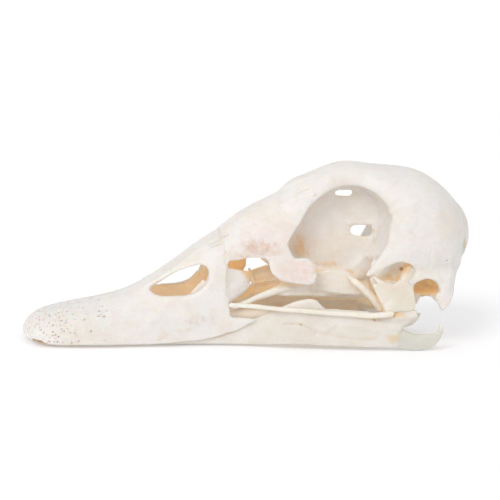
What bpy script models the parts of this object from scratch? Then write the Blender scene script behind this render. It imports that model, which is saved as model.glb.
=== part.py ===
"""Duck skull, life size, with its lower jaw closed, as a museum shows it.

The beak points along -X, the animal's left side faces -Y and +Z is up. The origin is on the surface
that the skull lies on, below the middle of its length. Every size below is a millimetre of a skull
130 mm long, and MM turns it into metres.
"""

import math

import bmesh
import bpy
from mathutils import Matrix, Vector

# Driving dimensions
SKULL_LENGTH = 130.0
DRAWN_LENGTH = 130.0
MM = 0.001 * SKULL_LENGTH / DRAWN_LENGTH
GAP = 0.3

# Bleached bone, a little yellower on the deep bones and greyer on the thin jaw
BONE_WHITE = (0.87, 0.84, 0.79)
COLOURS = {
    "pterygoid": (0.82, 0.72, 0.55),
    "palatine": (0.85, 0.80, 0.70),
    "vomer": (0.82, 0.74, 0.60),
    "lower": (0.85, 0.83, 0.76),
}

# Mesh fineness: the grid that fuses the bones, and the triangles that each bone keeps
VOXEL = 0.45
FINE_VOXEL = 0.3
SMOOTHING = 5
FLOOR_SIZE = 200.0
FINE_SMOOTHING = 3
UPPER_SKULL_TRIANGLES = 10600
JAW_TRIANGLES = 2400
QUADRATE_TRIANGLES = 420
PALATINE_TRIANGLES = 300
PTERYGOID_TRIANGLES = 140
VOMER_TRIANGLES = 160
JUGAL_TRIANGLES = 150

# Profile seen from the side: height of the midline from the tip of the beak to the occiput
CULMEN = [(-65.0, 2.6), (-64.5, 4.3), (-62.9, 6.5), (-59.7, 8.5), (-56.1, 9.6), (-49.7, 11.0),
          (-43.3, 12.4), (-37.4, 14.1), (-31.6, 16.8), (-27.9, 18.7), (-22.9, 22.3), (-18.0, 26.0),
          (-14.4, 28.8), (-10.4, 31.6), (-8.0, 33.6)]
ROOF = [(-11.5, 30.6), (-9.6, 32.2), (-5.1, 36.4), (1.4, 40.5), (8.6, 44.1), (10.9, 45.9),
        (14.5, 48.5), (18.0, 50.1), (22.3, 52.0), (26.7, 53.1), (29.6, 53.1), (32.3, 52.6),
        (35.9, 52.2), (41.5, 51.9), (46.0, 51.4), (49.7, 50.3), (53.7, 48.0), (57.5, 44.9),
        (60.5, 41.4), (61.8, 38.5)]

# Upper beak: half widths at the cutting edge, height of that edge and of the palate
BEAK_HALF_WIDTH = [(-65.0, 1.2), (-64.6, 4.4), (-63.4, 7.4), (-61.0, 10.0), (-57.0, 11.6), (-51.0, 12.1),
                   (-44.0, 11.9), (-34.0, 11.1), (-24.0, 10.5), (-14.0, 10.1), (-4.0, 9.9)]
BEAK_EDGE = [(-65.0, 1.7), (-62.0, 1.1), (-58.0, 0.8), (-30.0, 0.8), (-20.0, 1.4), (-13.8, 2.1),
             (-8.8, 3.3), (-4.2, 4.7), (-0.8, 6.2)]
BEAK_ARCH = [(-65.0, 2.0), (-50.0, 2.35), (-35.0, 2.2), (-26.0, 2.4), (-18.0, 2.8), (-9.0, 3.7)]
BEAK_WALL = 1.3
TROUGH_START = -63.5
TROUGH_SLOPE = 5.0
TROUGH_LEAST = 0.2
TROUGH_ARCH = 3.2
PALATE_HEIGHT = 4.9
CHAMBER_INSET = 2.5
NOSTRIL = [(-29.4, 15.9), (-27.6, 14.6), (-23.5, 14.6), (-19.6, 14.8), (-16.6, 15.7), (-14.4, 17.4),
           (-13.1, 19.8), (-13.0, 22.2), (-14.6, 23.5), (-17.4, 22.9), (-21.0, 21.3), (-24.6, 19.2),
           (-27.8, 17.4)]
NOSTRIL_RIM_FRONT = -30.0
NOSTRIL_RIM_REAR = -11.0
NOSTRIL_RIM_OFFSET = 4.0
NOSTRIL_RIM_DEPTH = 1.15
NOSTRIL_RIM_RADIUS = 0.85
NASAL_ROOF = 2.3
NASAL_FLOOR = 8.6
NASAL_FRONT = -31.0
NASAL_REAR = -4.0
NASAL_ARCH = 2.1
NASAL_WIDTH_SHARE = [(-31.0, 0.41), (-26.5, 1.0)]
NASAL_DEPTH_SHARE = [(-31.0, 0.37), (-26.5, 1.0)]

# Forehead, from the hinge to the orbits
HOOD_HALF_WIDTH = [(-9.8, 7.8), (-8.6, 8.2), (-3.0, 9.0), (3.0, 9.6), (9.0, 10.2), (15.0, 10.0)]
HOOD_EDGE = [(-9.8, 25.4), (-8.0, 24.9), (-6.4, 24.9), (-4.2, 25.2), (-0.8, 26.1), (1.6, 26.1), (4.0, 25.4),
             (15.0, 26.4)]
HOOD_ARCH = [(-9.8, 2.35), (4.0, 2.4), (11.0, 2.8), (15.0, 2.8)]
HOOD_WALL = 1.3
HOOD_CROWN = 2.0

# Frontal roof between and behind the orbits: half width and height of its rim
RIM_HALF_WIDTH = [(11.0, 7.7), (16.8, 8.5), (21.6, 7.8), (26.5, 7.1), (30.4, 7.6), (34.5, 10.6),
                  (38.0, 13.8),
                  (42.0, 15.8)]
RIM_HEIGHT = [(11.0, 38.5), (16.8, 43.0), (21.6, 46.4), (26.5, 47.4), (30.4, 47.3), (34.5, 45.6),
              (38.0, 42.0), (42.0, 38.0)]

# Braincase
BRAIN_HALF_WIDTH = [(32.5, 7.5), (36.0, 12.4), (40.0, 15.6), (45.0, 17.1), (50.0, 17.0), (54.0, 15.8),
                    (57.5, 13.7), (60.2, 10.8), (61.6, 7.6)]
BRAIN_BASE = [(32.5, 27.0), (36.0, 23.0), (40.0, 20.0), (45.0, 18.4), (50.0, 17.8), (55.0, 18.0),
              (60.0, 19.4),
              (61.6, 21.5)]
BRAIN_POWER = 2.25

# Orbit outline, seen from the side, and the wall between the orbits
ORBIT = [(9.1, 30.2), (10.9, 33.6), (12.9, 36.8), (14.4, 39.6), (17.4, 43.2), (21.6, 46.0), (26.5, 47.2),
         (30.6, 47.1),
         (34.2, 45.4), (37.0, 42.6), (38.4, 39.0), (38.3, 34.6), (36.9, 29.8), (34.2, 26.0), (30.6, 21.9),
         (24.0, 20.6), (17.0, 22.0), (12.0, 25.2), (9.7, 27.4)]
SEPTUM_THICKNESS = 1.3
SEPTUM_CORE_THICKNESS = 4.4
SEPTUM_CORE = [(8.0, 44.0), (20.0, 50.0), (34.0, 50.0), (41.0, 40.0), (40.0, 22.0), (28.0, 20.4),
               (14.0, 21.0),
               (8.0, 27.0)]
ORBIT_DRAW = [(-SEPTUM_THICKNESS / 2, 0.89), (-1.1, 0.935), (-2.2, 0.96), (-5.0, 0.985), (-9.0, 1.0),
              (-26.0, 1.02)]
SEPTUM_FENESTRA = [(29.4, 33.5), (32.8, 34.3), (35.6, 34.4), (36.2, 32.8), (34.8, 31.0), (32.6, 31.3),
                   (29.8, 31.7)]
SEPTUM_SLIT = [(24.0, 43.6), (26.4, 44.6), (28.9, 44.8), (29.0, 43.1), (26.4, 42.9)]
WINDOW_DEPTH = 7.0
HINGE_PLACE = (-9.0, 30.0)
HINGE_LEAN = 13.3
HINGE_DEPTH = 12.0
HINGE_BREADTH = 40.0

# Lower jaw: each half's middle line, edges and thickness from the beak's tip to the joint
JAW_MIDDLE = [(-58.0, 6.2), (-54.0, 7.3), (-48.0, 7.9), (-30.0, 7.8), (-15.0, 7.9), (-6.0, 8.2), (0.0, 8.9),
              (6.0, 10.2), (13.0, 11.5), (20.0, 12.2), (30.0, 12.8), (42.0, 13.0)]
JAW_LOW = [(-58.0, -0.1), (-54.0, -0.35), (-38.0, -0.35), (-26.0, 0.3), (-15.0, 0.5), (0.0, 0.6),
           (14.0, 1.3),
           (25.0, 1.0), (42.0, 0.9)]
JAW_HIGH = [(-58.0, 2.2), (-50.0, 3.7), (-35.0, 4.0), (-20.0, 4.3), (-8.0, 5.6), (1.1, 8.6), (5.0, 10.8),
            (7.5, 12.0), (12.8, 14.4), (16.8, 15.2), (18.4, 14.6), (20.6, 12.0), (24.0, 11.2), (33.5, 10.2),
            (37.4, 8.8), (42.0, 7.6)]
JAW_POWER = 4.0
JAW_HALF_THICKNESS = [(-58.0, 1.2), (-40.0, 0.9), (0.0, 0.85), (12.0, 1.05), (25.0, 1.15), (34.0, 1.6),
                      (42.0, 1.6)]

# Forms skinned round a few balls, each (x, y, z, radius), on the left; those on the right mirror them
MAXILLA = {
    "maxilla_rear": [(-10.0, -9.3, 8.2, 0.8), (-10.0, -9.2, 4.0, 0.8), (-5.0, -9.7, 8.4, 0.7),
                     (-5.0, -9.6, 5.2, 0.7), (1.0, -10.4, 8.4, 0.5)],
    "maxilla_plate": [(-9.5, -9.0, 14.0, 0.8), (-9.5, -9.2, 6.0, 0.9), (-7.6, -9.2, 13.6, 0.7),
                      (-6.8, -9.7, 8.6, 0.7)],
}
NASAL_FLOOR_FORMS = {
    "nasal_plate": [(-8.8, -8.0, 22.6, 0.75), (-8.0, -8.6, 12.4, 0.75), (-0.6, -6.2, 21.2, 0.55),
                    (-0.8, -5.8, 17.2, 0.55)],
    "palate_root": [(-14.0, -6.2, 8.0, 0.9), (-13.0, -8.8, 7.6, 0.8), (-7.5, -6.6, 9.7, 0.9)],
}
PALATE_SHELF = [(-9.0, -7.6, 12.4, 0.7), (-9.0, 7.6, 12.4, 0.7), (-2.0, -5.6, 15.6, 0.6),
                (-2.0, 5.6, 15.6, 0.6)]
SKULL_SIDE = {
    "paroccipital": [(57.6, -9.0, 24.0, 2.2), (55.6, -13.2, 22.0, 1.7), (56.6, -12.6, 15.4, 1.3),
                     (55.7, -12.8, 13.0, 1.0), (53.6, -12.8, 15.0, 0.9)],
    "ear_floor": [(45.8, -7.6, 17.4, 1.1), (49.6, -8.8, 15.4, 0.9), (54.6, -9.8, 14.8, 1.0),
                  (54.0, -7.0, 18.6, 1.6)],
    "orbit_front_wall": [(14.6, -0.5, 44.0, 0.8), (12.4, -0.5, 27.0, 0.8), (12.0, -8.6, 37.0, 0.8),
                         (8.9, -9.2, 29.0, 0.8)],
}
CONDYLE_NECK = [(56.0, -2.4, 18.6, 1.4), (56.0, 2.4, 18.6, 1.4), (59.0, 0.0, 17.2, 1.1)]
LACRIMAL = {
    "lacrimal_neck": [(5.0, -9.5, 29.5, 0.8), (8.5, -9.7, 30.4, 0.8), (4.6, -9.9, 24.6, 0.8),
                      (9.2, -10.0, 27.4, 0.8), (10.9, -10.2, 25.3, 0.8)],
    "lacrimal_heel": [(4.6, -9.9, 25.0, 0.8), (5.2, -10.2, 22.4, 0.8), (7.6, -10.4, 20.6, 0.9),
                      (10.9, -10.3, 25.3, 0.9), (12.0, -10.8, 19.8, 0.9)],
    "lacrimal_upper_lobe": [(11.6, -10.2, 25.6, 0.9), (14.8, -10.3, 26.0, 0.9), (17.4, -10.4, 24.0, 0.8),
                            (12.0, -10.6, 22.4, 0.8), (16.4, -10.8, 22.2, 0.8)],
    "lacrimal_lower_lobe": [(11.8, -10.7, 22.8, 0.9), (12.0, -10.9, 19.8, 0.9), (17.4, -11.4, 19.4, 0.9),
                            (18.2, -11.4, 21.8, 0.8)],
    "lacrimal_toe": [(17.2, -11.3, 22.0, 0.8), (17.6, -11.4, 19.4, 0.9), (20.0, -11.5, 20.2, 0.75)],
}
POSTORBITAL = {
    "postorbital_root": [(39.6, -13.4, 37.0, 2.0), (44.0, -14.4, 32.0, 2.2), (38.6, -13.8, 31.0, 1.4),
                         (41.0, -14.4, 28.0, 1.3)],
    "postorbital_mid": [(38.6, -13.8, 31.0, 1.4), (41.0, -14.4, 28.0, 1.3), (35.6, -13.6, 26.4, 1.1),
                        (37.4, -14.0, 26.0, 1.1)],
    "postorbital_tip": [(35.6, -13.6, 26.4, 1.1), (37.4, -14.0, 26.0, 1.1), (32.4, -13.0, 22.4, 0.85)],
}
ROSTRUM_BEAM = [(4.0, 0.0, 20.2, 0.9), (14.0, 0.0, 20.6, 1.5), (26.0, 0.0, 20.8, 1.9),
                (36.0, 0.0, 20.6, 2.3),
                (44.0, 0.0, 20.0, 3.0)]
ROSTRUM_TIP = [(-0.8, 0.0, 19.8, 0.5), (0.0, 0.0, 17.2, 0.5), (6.0, 0.0, 22.0, 0.7), (6.0, 0.0, 17.6, 0.6),
               (12.0, 0.0, 20.4, 1.2)]
ROSTRUM_FACET = [(28.0, -0.5, 20.4, 1.3), (32.5, -1.5, 19.8, 1.5), (30.0, -2.8, 19.4, 1.0)]
QUADRATE = {
    "plate": [(34.5, -8.9, 20.2, 0.7), (36.6, -11.2, 16.0, 0.8), (41.5, -12.3, 19.2, 1.1),
              (41.0, -12.4, 15.0, 1.4)],
    "body": [(36.6, -11.2, 16.0, 0.8), (41.5, -12.3, 19.0, 1.1), (38.6, -13.1, 12.4, 1.2),
             (43.2, -12.3, 12.8, 1.3),
             (45.0, -12.2, 16.6, 0.9)],
    "ear_process": [(42.4, -12.4, 18.6, 1.3), (44.6, -12.3, 18.2, 1.0), (44.4, -12.2, 24.6, 1.4),
                    (43.2, -12.4, 22.4, 1.0)],
    "condyles": [(38.8, -13.3, 11.9, 1.3), (46.0, -12.0, 13.8, 1.1), (41.8, -9.8, 12.1, 1.4),
                 (44.0, -11.0, 12.8, 1.3)],
}
PTERYGOID_BAR = [(28.6, -2.9, 18.0, 1.2), (31.4, -3.9, 17.0, 1.15), (35.4, -6.6, 13.8, 1.0),
                 (38.4, -8.8, 11.6, 1.1)]
PTERYGOID_FRONT = [(25.6, -2.6, 19.2, 0.8), (26.4, -2.9, 16.4, 0.8), (30.6, -3.6, 15.9, 0.8),
                   (30.0, -2.8, 18.8, 0.9)]
PALATINE_BAR = [(-8.5, -6.6, 9.7, 0.8), (-1.1, -5.9, 12.5, 0.8), (3.3, -5.4, 14.4, 0.8),
                (7.4, -5.2, 15.6, 0.9)]
PALATINE = {
    "plate": [(7.0, -5.2, 15.9, 0.8), (8.0, -6.4, 14.9, 0.6), (12.0, -2.4, 18.2, 0.7),
              (14.2, -7.0, 15.3, 0.7),
              (20.2, -6.9, 15.1, 0.7), (21.0, -2.4, 18.4, 0.7)],
    "rear": [(20.2, -6.9, 15.1, 0.7), (21.0, -2.4, 18.4, 0.7), (25.0, -4.2, 14.5, 0.8),
             (25.2, -2.2, 17.8, 0.8)],
}
VOMER = [(2.4, 0.0, 15.8, 0.5), (12.0, 0.0, 14.2, 0.55), (21.0, 0.0, 15.0, 0.55), (21.5, 0.0, 19.6, 0.6),
         (3.0, 0.0, 17.4, 0.5)]
JUGAL_BAR = [(-7.4, -9.7, 12.4, 0.8), (-2.0, -10.6, 12.5, 0.8), (8.2, -12.9, 12.0, 0.75),
             (19.0, -14.1, 11.5, 0.8),
             (28.5, -14.6, 11.0, 0.85), (34.0, -14.8, 10.7, 0.95), (39.4, -15.0, 11.3, 1.05)]
JAW_TIP = [(-60.4, 3.4, 1.2, 0.8), (-56.4, 6.6, 0.8, 0.9), (-52.4, 7.4, 0.5, 0.8)]
JAW_ROD = [(42.0, -13.2, 7.4, 1.4), (44.4, -12.9, 9.0, 1.35), (46.6, -12.5, 10.0, 1.3)]
JAW_REAR = {
    "joint": [(36.6, -13.4, 7.6, 1.5), (42.0, -13.4, 7.2, 1.6), (38.5, -9.2, 7.6, 1.5),
              (43.0, -9.6, 7.2, 1.5),
              (40.0, -13.2, 4.0, 1.2)],
    "inner_process": [(40.0, -9.4, 7.4, 1.3), (42.6, -9.4, 7.2, 1.3), (42.4, -5.4, 8.8, 0.8)],
    "angle": [(39.0, -13.0, 2.2, 1.1), (41.0, -13.0, 6.2, 1.0), (48.2, -13.1, 0.35, 0.7),
              (47.6, -13.1, 4.3, 0.65)],
    "heel": [(48.2, -13.1, 0.35, 0.7), (47.6, -13.1, 4.3, 0.65), (52.6, -13.0, 1.4, 0.65),
             (53.2, -13.0, 4.4, 0.6)],
    "hook_root": [(52.6, -13.0, 1.4, 0.65), (53.2, -13.0, 4.4, 0.6), (55.4, -12.8, 6.0, 0.6),
                  (54.6, -12.9, 3.6, 0.6)],
    "hook": [(55.4, -12.8, 5.8, 0.6), (54.6, -12.8, 4.4, 0.6), (55.1, -12.7, 8.7, 0.55)],
}

# Swellings of the braincase and hollows in it, each (centre, radii, tilt down of its nose in degrees)
BRAIN_MIDDLE_SWELLS = {
    "cerebellar_bulge": ((57.2, 0.0, 32.6), (7.8, 6.4, 10.6), -8),
    "base_plate": ((49.0, 0.0, 19.0), (9.5, 8.6, 3.2), 3),
    "condyle": ((59.4, 0.0, 16.9), (1.7, 1.9, 1.5), 0),
}
BRAIN_SIDE_SWELLS = {
    "ear_wing": ((50.0, -11.6, 22.4), (8.4, 3.6, 4.8), 0),
    "temporal_swell": ((44.0, -12.2, 30.0), (8.0, 4.2, 7.5), 0),
}
TEMPORAL_ROOM = ((40.6, -14.6, 22.9), (5.6, 6.2, 3.6), -12)
EAR_ROOM = ((49.7, -14.0, 17.4), (4.3, 6.4, 4.3), 0)
FONTANELLE = ((63.2, -4.4, 29.0), (2.6, 1.7, 2.3), 0)
FORAMEN_MAGNUM = ((62.5, 0.0, 20.8), (6.0, 3.9, 3.4), -28)


def keyed(keys, x):
    """The value at x of the smooth curve through (x, value) keys, which never overshoots them."""
    if x <= keys[0][0]:
        return keys[0][1]
    if x >= keys[-1][0]:
        return keys[-1][1]
    slopes = [(b[1] - a[1]) / (b[0] - a[0]) for a, b in zip(keys, keys[1:])]
    tangents = [slopes[0]]
    for before, after in zip(slopes, slopes[1:]):
        tangents.append(0.0 if before * after <= 0 else 2 * before * after / (before + after))
    tangents.append(slopes[-1])
    i = max(n for n, key in enumerate(keys[:-1]) if key[0] <= x)
    span = keys[i + 1][0] - keys[i][0]
    t = (x - keys[i][0]) / span
    start = (2 * t ** 3 - 3 * t ** 2 + 1) * keys[i][1] + (t ** 3 - 2 * t ** 2 + t) * span * tangents[i]
    end = (3 * t ** 2 - 2 * t ** 3) * keys[i + 1][1] + (t ** 3 - t ** 2) * span * tangents[i + 1]
    return start + end


def spaced(start, end, step):
    """Even values from start to end, about a step apart."""
    count = max(2, round((end - start) / step) + 1)
    return [start + (end - start) * n / (count - 1) for n in range(count)]


def collection(name):
    group = bpy.data.collections.new(name)
    bpy.context.scene.collection.children.link(group)
    return group


def new_object(name, bm):
    """A mesh object in the work collection from a bmesh in millimetres."""
    bmesh.ops.scale(bm, vec=Vector((MM, MM, MM)), verts=bm.verts)
    bmesh.ops.recalc_face_normals(bm, faces=bm.faces)
    mesh = bpy.data.meshes.new(name)
    bm.to_mesh(mesh)
    bm.free()
    obj = bpy.data.objects.new(name, mesh)
    bpy.data.collections["work"].objects.link(obj)
    return obj


def loft(name, rings):
    """A closed body through rings of points that all have the same count."""
    bm = bmesh.new()
    rows = [[bm.verts.new(point) for point in ring] for ring in rings]
    count = len(rows[0])
    for row, after in zip(rows, rows[1:]):
        for n in range(count):
            m = (n + 1) % count
            bm.faces.new((row[n], row[m], after[m], after[n]))
    caps = [bm.faces.new(rows[0]), bm.faces.new(rows[-1])]
    bmesh.ops.triangulate(bm, faces=caps)
    return new_object(name, bm)


def arch(x, half_width, low, high, power, count=26):
    """Points of a rounded arch across the skull, from its left foot over the top to its right foot."""
    points = []
    for n in range(count + 1):
        angle = math.pi * n / count
        across, up = math.cos(angle), max(0.0, math.sin(angle))
        y = -half_width * math.copysign(abs(across) ** (2 / power), across)
        points.append((x, y, low + (high - low) * up ** (2 / power)))
    return points


def oval(x, half_width, low, high, power, y=0.0, count=40):
    """Points of a closed rounded section across the skull, with its middle at y."""
    middle, rise = (low + high) / 2, (high - low) / 2
    points = []
    for n in range(count):
        angle = 2 * math.pi * n / count
        across, up = math.cos(angle), math.sin(angle)
        points.append((x, y + half_width * math.copysign(abs(across) ** (2 / power), across),
                       middle + rise * math.copysign(abs(up) ** (2 / power), up)))
    return points


def ellipsoid(name, centre, radii, tilt):
    """A ball stretched to three radii, its nose tilted down by some degrees."""
    bm = bmesh.new()
    lean = Matrix.Rotation(math.radians(tilt), 4, "Y")
    place = Matrix.Translation(centre) @ lean @ Matrix.Diagonal((*radii, 1))
    bmesh.ops.create_uvsphere(bm, u_segments=20, v_segments=12, radius=1.0, matrix=place)
    return new_object(name, bm)


def blade(name, knobs):
    """The tight skin round a few balls, each (x, y, z, radius): a bar, a web or a flat plate of bone."""
    balls = bmesh.new()
    for x, y, z, radius in knobs:
        place = Matrix.Translation((x, y, z))
        bmesh.ops.create_icosphere(balls, subdivisions=2, radius=radius, matrix=place)
    bm = bmesh.new()
    for vert in balls.verts:
        bm.verts.new(vert.co)
    balls.free()
    hull = bmesh.ops.convex_hull(bm, input=bm.verts)
    loose = [part for part in hull["geom_interior"] if isinstance(part, bmesh.types.BMVert)]
    bmesh.ops.delete(bm, geom=loose, context="VERTS")
    return new_object(name, bm)


def blades(forms):
    """One blade for each named form."""
    return [blade(name, knobs) for name, knobs in forms.items()]


def bars(name, knobs):
    """A bar of bone through a row of balls, as one blade between each two."""
    return [blade(f"{name}_{n}", pair) for n, pair in enumerate(zip(knobs, knobs[1:]))]


def side_plate(name, outline, y, thickness):
    """A flat plate seen from the side: a smooth closed outline in X and Z, centred on y."""
    curve = bpy.data.curves.new(name, "CURVE")
    curve.dimensions = "2D"
    curve.fill_mode = "BOTH"
    curve.resolution_u = 4
    curve.extrude = thickness / 2
    spline = curve.splines.new("BEZIER")
    spline.bezier_points.add(len(outline) - 1)
    for point, (x, z) in zip(spline.bezier_points, outline):
        point.co = (x, z, 0)
        point.handle_left_type = point.handle_right_type = "AUTO"
    spline.use_cyclic_u = True
    drawn = bpy.data.objects.new(name, curve)
    bpy.data.collections["work"].objects.link(drawn)
    graph = bpy.context.evaluated_depsgraph_get()
    mesh = bpy.data.meshes.new_from_object(drawn.evaluated_get(graph))
    bm = bmesh.new()
    bm.from_mesh(mesh)
    bpy.data.meshes.remove(mesh)
    bpy.data.objects.remove(drawn)
    bmesh.ops.remove_doubles(bm, verts=bm.verts, dist=0.001)
    stand = Matrix.Translation((0, y, 0)) @ Matrix.Rotation(math.radians(90), 4, "X")
    bmesh.ops.transform(bm, matrix=stand, verts=bm.verts)
    return new_object(name, bm)


def mirrored(obj, name):
    """The same form on the skull's other side."""
    bm = bmesh.new()
    bm.from_mesh(obj.data)
    bmesh.ops.scale(bm, vec=Vector((1, -1, 1)), verts=bm.verts)
    bmesh.ops.reverse_faces(bm, faces=bm.faces)
    mesh = bpy.data.meshes.new(name)
    bm.to_mesh(mesh)
    bm.free()
    twin = bpy.data.objects.new(name, mesh)
    bpy.data.collections["work"].objects.link(twin)
    return twin


def both_sides(pieces):
    return pieces + [mirrored(piece, piece.name + "_right") for piece in pieces]


def remove(pieces):
    for piece in pieces:
        mesh = piece.data
        bpy.data.objects.remove(piece)
        bpy.data.meshes.remove(mesh)


def apply_modifiers(obj):
    graph = bpy.context.evaluated_depsgraph_get()
    mesh = bpy.data.meshes.new_from_object(obj.evaluated_get(graph))
    before = obj.data
    obj.modifiers.clear()
    obj.data = mesh
    bpy.data.meshes.remove(before)


def boolean(obj, others, operation):
    """Joins or cuts obj with a list of closed objects, which are then removed."""
    group = bpy.data.collections.new("operands")
    bpy.context.scene.collection.children.link(group)
    for other in others:
        bpy.data.collections["work"].objects.unlink(other)
        group.objects.link(other)
    step = obj.modifiers.new("Boolean", "BOOLEAN")
    step.operation = operation
    step.operand_type = "COLLECTION"
    step.collection = group
    step.solver = "MANIFOLD"
    apply_modifiers(obj)
    remove(others)
    bpy.data.collections.remove(group)


def keep_surface(obj, rank=0):
    """Drops every loose surface but one, the largest at rank 0, and so fills any sealed hollow."""
    bm = bmesh.new()
    bm.from_mesh(obj.data)
    bmesh.ops.remove_doubles(bm, verts=bm.verts, dist=0.0001 * MM)
    bmesh.ops.dissolve_degenerate(bm, edges=bm.edges, dist=0.0001 * MM)
    unseen = set(bm.verts)
    shells = []
    while unseen:
        shell, front = set(), [unseen.pop()]
        while front:
            vert = front.pop()
            shell.add(vert)
            for edge in vert.link_edges:
                other = edge.other_vert(vert)
                if other in unseen:
                    unseen.remove(other)
                    front.append(other)
        shells.append(shell)
    kept = sorted(shells, key=len, reverse=True)[rank]
    scraps = [vert for shell in shells if shell is not kept for vert in shell]
    bmesh.ops.delete(bm, geom=scraps, context="VERTS")
    bm.to_mesh(obj.data)
    bm.free()


def grown(obj, voxel, smoothing):
    """Fuses the joined forms into one skin of bone with soft edges."""
    remesh = obj.modifiers.new("Remesh", "REMESH")
    remesh.mode = "VOXEL"
    remesh.voxel_size = voxel * MM
    smooth = obj.modifiers.new("Smooth", "SMOOTH")
    smooth.factor = 0.5
    smooth.iterations = smoothing
    apply_modifiers(obj)
    keep_surface(obj)


def thinned(obj, triangles):
    """Keeps about the given number of triangles."""
    now = sum(len(face.vertices) - 2 for face in obj.data.polygons)
    decimate = obj.modifiers.new("Decimate", "DECIMATE")
    decimate.ratio = min(1.0, triangles / now)
    decimate.use_collapse_triangulate = True
    decimate.use_symmetry = True
    decimate.symmetry_axis = "Y"
    apply_modifiers(obj)
    keep_surface(obj)


def clear_of(obj, neighbours):
    """Cuts obj back to the gap from its neighbours, so that it meets them face to face."""
    cutters = []
    for neighbour in neighbours:
        cutter = neighbour.copy()
        cutter.data = neighbour.data.copy()
        cutter.name = neighbour.name + "_room"
        for group in list(cutter.users_collection):
            group.objects.unlink(cutter)
        bpy.data.collections["work"].objects.link(cutter)
        swell = cutter.modifiers.new("Displace", "DISPLACE")
        swell.strength = GAP * MM
        swell.mid_level = 0.0
        apply_modifiers(cutter)
        cutters.append(cutter)
    boolean(obj, cutters, "DIFFERENCE")
    keep_surface(obj)


def finish(obj, name, colour, roughness=0.55):
    """Gives the finished node its name, its material and its place in the skull's collection."""
    obj.name = name
    obj.data.name = name
    material = bpy.data.materials.new(name + "_bone")
    material.use_nodes = True
    shader = material.node_tree.nodes["Principled BSDF"]
    shader.inputs["Base Color"].default_value = (*colour, 1.0)
    shader.inputs["Roughness"].default_value = roughness
    shader.inputs["Metallic"].default_value = 0.0
    obj.data.materials.clear()
    obj.data.materials.append(material)
    bpy.data.collections["work"].objects.unlink(obj)
    bpy.data.collections["duck_skull"].objects.link(obj)
    obj.data.shade_smooth()
    obj.data.set_sharp_from_angle(angle=math.radians(50))


def beak_forms():
    """The upper beak with open nostrils, a nasal chamber and the trough that the lower jaw lies in."""
    rings = []
    for x in [-65.0, -64.8, -64.4, -63.6, -62.4] + spaced(-61.0, -8.0, 2.0):
        half, edge = keyed(BEAK_HALF_WIDTH, x), keyed(BEAK_EDGE, x)
        outer = arch(x, half, edge, keyed(CULMEN, x), keyed(BEAK_ARCH, x))
        room = max(TROUGH_LEAST, half - BEAK_WALL)
        depth = (PALATE_HEIGHT - edge) * min(1.0, (x - TROUGH_START) / TROUGH_SLOPE)
        roof = edge + max(TROUGH_LEAST, depth)
        inner = arch(x, room, edge, roof, TROUGH_ARCH)
        rings.append(outer + inner[::-1])
    beak = loft("beak", rings)
    boolean(beak, both_sides(blades(MAXILLA)), "UNION")
    chamber = []
    for x in spaced(NASAL_FRONT, NASAL_REAR, 2.0):
        top = keyed(CULMEN, x) - NASAL_ROOF
        half = (keyed(BEAK_HALF_WIDTH, x) - CHAMBER_INSET) * keyed(NASAL_WIDTH_SHARE, x)
        low = top - (top - NASAL_FLOOR) * keyed(NASAL_DEPTH_SHARE, x)
        chamber.append(arch(x, half, low, top, NASAL_ARCH))
    cutters = [loft("nasal_chamber", chamber), side_plate("nostrils", NOSTRIL, 0.0, 40.0)]
    boolean(beak, cutters, "DIFFERENCE")
    rim = []
    for x in spaced(NOSTRIL_RIM_FRONT, NOSTRIL_RIM_REAR, 3.0):
        rim.append((x, -NOSTRIL_RIM_OFFSET, keyed(CULMEN, x) - NOSTRIL_RIM_DEPTH, NOSTRIL_RIM_RADIUS))
    inner = both_sides(blades(NASAL_FLOOR_FORMS) + bars("nostril_rim", rim))
    boolean(beak, inner + [blade("palate_shelf", PALATE_SHELF)], "UNION")
    return beak


def cranium_forms():
    """The forehead, the braincase and the wall between the orbits, before the orbits are opened."""
    hood = []
    for x in spaced(-9.8, 15.0, 1.6):
        half, edge, top = keyed(HOOD_HALF_WIDTH, x), keyed(HOOD_EDGE, x), keyed(ROOF, x)
        power = keyed(HOOD_ARCH, x)
        outer = arch(x, half, edge, top, power)
        inner = arch(x, half - HOOD_WALL, edge, top - HOOD_CROWN, power)
        hood.append(outer + inner[::-1])
    frontal = []
    for x in spaced(11.0, 42.0, 1.6):
        rim = keyed(RIM_HEIGHT, x)
        outer = arch(x, keyed(RIM_HALF_WIDTH, x), rim, keyed(ROOF, x), 2.2)
        inner = arch(x, keyed(RIM_HALF_WIDTH, x) - 0.6, rim - 1.3, rim - 0.3, 2.2)
        frontal.append(outer + inner[::-1])
    brain = []
    for x in spaced(32.5, 61.6, 1.5):
        brain.append(oval(x, keyed(BRAIN_HALF_WIDTH, x), keyed(BRAIN_BASE, x), keyed(ROOF, x), BRAIN_POWER))
    skull = loft("braincase", brain)
    middle = [
        loft("hood", hood),
        loft("frontal", frontal),
        side_plate("septum_core", SEPTUM_CORE, 0.0, SEPTUM_CORE_THICKNESS),
        blade("condyle_neck", CONDYLE_NECK),
    ]
    middle += [ellipsoid(name, *place) for name, place in BRAIN_MIDDLE_SWELLS.items()]
    sides = [ellipsoid(name, *place) for name, place in BRAIN_SIDE_SWELLS.items()]
    boolean(skull, middle + both_sides(sides + blades(SKULL_SIDE)), "UNION")
    return skull


def orbit_cutter():
    """The room of the left eye: the orbit's outline, drawn in towards the wall between the orbits."""
    centre_x = sum(x for x, z in ORBIT) / len(ORBIT)
    centre_z = sum(z for x, z in ORBIT) / len(ORBIT)
    rings = []
    for y, share in ORBIT_DRAW:
        ring = [(centre_x + (x - centre_x) * share, y, centre_z + (z - centre_z) * share) for x, z in ORBIT]
        rings.append(ring)
    return loft("orbit", rings)


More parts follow.
